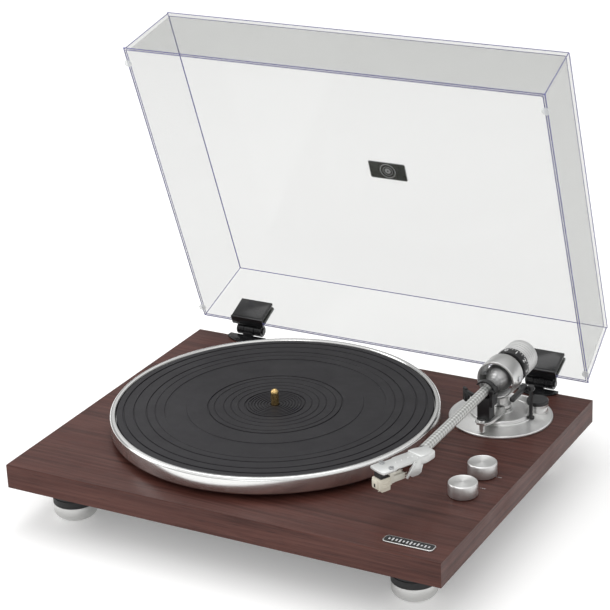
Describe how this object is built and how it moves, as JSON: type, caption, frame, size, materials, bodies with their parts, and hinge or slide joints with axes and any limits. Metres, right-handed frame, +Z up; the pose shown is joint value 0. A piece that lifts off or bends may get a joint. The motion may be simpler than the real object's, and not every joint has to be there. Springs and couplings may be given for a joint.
{
  "type": "record player",
  "caption": "Belt-drive record player: wooden plinth on round feet, platter with rubber mat, parked straight tonearm, control knobs and a clear lid held open.",
  "frame": {"origin": "on the table, under the middle of the bounding box of the player with its lid open", "axes": "+X to the player's right, +Y to the back where the lid is hinged, +Z up along the record spindle"},
  "size_m": [0.42, 0.3974, 0.3967],
  "materials": {
    "plinth_veneer": "semi-gloss dark mahogany veneer",
    "cover_board": "black hardboard",
    "screw_steel": "plated",
    "black_rubber": "matte",
    "satin_silver": "satin",
    "machined_steel": "machined",
    "bronze": "sintered",
    "hard_steel": "polished",
    "brass": "turned",
    "platter_aluminium": "polished",
    "mat_rubber": "matte, ringed",
    "knob_aluminium": "spun top",
    "switch_plastic": "moulded",
    "board_green": "lacquered",
    "badge_black": "printed",
    "panel_black": "moulded",
    "socket_gold": "gold plated",
    "nut_chrome": "knurled",
    "arm_aluminium": "turned",
    "arm_black": "moulded",
    "bell_metal": "satin grey",
    "tube_silver": "silver, fine diagonal weave",
    "shell_silver": "pale silver paint",
    "cartridge_cream": "moulded",
    "stylus_cream": "moulded",
    "weight_silver": "satin paint",
    "clear_acrylic": "clear, polished",
    "clear_rubber": "clear",
    "hinge_black": "moulded"
  },
  "bodies": {
    "deck": {"plinth": "plinth_veneer", "bottom_cover": "cover_board", "case_screws": "screw_steel", "foot_spacer_front_left": "black_rubber", "foot_spacer_front_right": "black_rubber", "foot_spacer_rear_left": "black_rubber", "foot_spacer_rear_right": "black_rubber", "foot_cup_front_left": "satin_silver", "foot_cup_front_right": "satin_silver", "foot_cup_rear_left": "satin_silver", "foot_cup_rear_right": "satin_silver", "foot_pads": "black_rubber", "bearing_housing": "machined_steel", "bearing_bush": "bronze", "thrust_ball": "hard_steel", "motor_body": "machined_steel", "motor_plate": "machined_steel", "drive_belt": "mat_rubber", "rotary_switches": "switch_plastic", "circuit_board": "board_green", "front_badge": "badge_black", "terminal_panel": "panel_black", "rca_sockets": "socket_gold", "dc_jack": "panel_black", "arm_base": "arm_aluminium", "arm_pillar": "arm_aluminium", "arm_rest": "arm_black", "lift_cylinder": "machined_steel", "lever_post": "arm_aluminium", "antiskate_post": "arm_aluminium", "hinge_bases": "hinge_black", "hinge_pins": "hard_steel", "hinge_screws": "screw_steel"},
    "platter": {"platter": "platter_aluminium", "mat": "mat_rubber", "spindle": "brass"},
    "pulley": {"motor_pulley": "brass"},
    "power_knob": {"power_knob": "knob_aluminium"},
    "speed_knob": {"speed_knob": "knob_aluminium"},
    "antiskate": {"antiskate_knob": "arm_black"},
    "ground_nut": {"ground_nut": "nut_chrome"},
    "rest_clip": {"arm_clip": "arm_black"},
    "lift": {"lift_platform": "arm_black"},
    "cue_lever": {"cue_lever": "arm_black"},
    "arm_yoke": {"gimbal_ring": "arm_aluminium", "gimbal_pivots": "machined_steel"},
    "arm": {"arm_bell": "bell_metal", "arm_tube": "tube_silver", "headshell": "shell_silver", "shell_screws": "screw_steel", "cartridge": "cartridge_cream", "stylus": "stylus_cream", "rear_shaft": "machined_steel"},
    "weight": {"counterweight": "weight_silver"},
    "dial": {"force_dial": "arm_black"},
    "lid": {"lid": "clear_acrylic", "lid_bumpers": "clear_rubber", "lid_badge": "badge_black", "hinge_clips": "hinge_black", "hinge_plates": "hinge_black"}
  },
  "joints": [
    {"name": "platter_spin", "type": "hinge", "parent": "deck", "child": "platter", "pos_m": [-0.0332, -0.02816, 0.0688], "axis": [0, 0, 1], "continuous": true},
    {"name": "pulley_spin", "type": "hinge", "parent": "deck", "child": "pulley", "pos_m": [-0.11452, 0.05316, 0.0648], "axis": [0, 0, 1], "continuous": true},
    {"name": "power_turn", "type": "hinge", "parent": "deck", "child": "power_knob", "pos_m": [0.1778, -0.08516, 0.0648], "axis": [0, 0, 1], "range_deg": [-60, 0]},
    {"name": "speed_turn", "type": "hinge", "parent": "deck", "child": "speed_knob", "pos_m": [0.1778, -0.04466, 0.0648], "axis": [0, 0, 1], "range_deg": [-60, 0]},
    {"name": "antiskate_turn", "type": "hinge", "parent": "deck", "child": "antiskate", "pos_m": [0.1754, 0.08384, 0.0708], "axis": [0, 0, 1], "range_deg": [-270, 0]},
    {"name": "ground_nut_turn", "type": "hinge", "parent": "deck", "child": "ground_nut", "pos_m": [0.08, 0.13654, 0.0477], "axis": [0, 1, 0], "range_deg": [-360, 0]},
    {"name": "clip_swing", "type": "hinge", "parent": "deck", "child": "rest_clip", "pos_m": [0.1544, 0.03284, 0.1001], "axis": [0, 1, 0], "range_deg": [0, 85]},
    {"name": "cue_lever_turn", "type": "hinge", "parent": "deck", "child": "cue_lever", "pos_m": [0.174, 0.06454, 0.0933], "axis": [1, 0, 0], "range_deg": [-50, 0]},
    {"name": "lift_slide", "type": "slide", "parent": "deck", "child": "lift", "axis": [0, 0, 1], "range_m": [0, 0.0022]},
    {"name": "arm_yaw", "type": "hinge", "parent": "deck", "child": "arm_yoke", "pos_m": [0.147, 0.06634, 0.0788], "axis": [0, 0, 1], "range_deg": [-44, 0]},
    {"name": "arm_pitch", "type": "hinge", "parent": "arm_yoke", "child": "arm", "pos_m": [0.147, 0.06634, 0.0991], "axis": [1, 0, 0], "range_deg": [-4.5, 0.5]},
    {"name": "weight_slide", "type": "slide", "parent": "arm", "child": "weight", "axis": [0, 1, 0], "range_m": [-0.0015, 0.004]},
    {"name": "dial_turn", "type": "hinge", "parent": "weight", "child": "dial", "pos_m": [0.147, 0.08834, 0.0991], "axis": [0, 1, 0], "range_deg": [-180, 180]},
    {"name": "lid_hinge", "type": "hinge", "parent": "deck", "child": "lid", "pos_m": [0, 0.14094, 0.064], "axis": [1, 0, 0], "range_deg": [0, 70.1]}
  ],
  "couplings": [
    {"joint": "pulley_spin", "follows": "platter_spin", "ratio": 10.865},
    {"joint": "lift_slide", "follows": "cue_lever_turn", "m_per_rad": -0.002521}
  ]
}
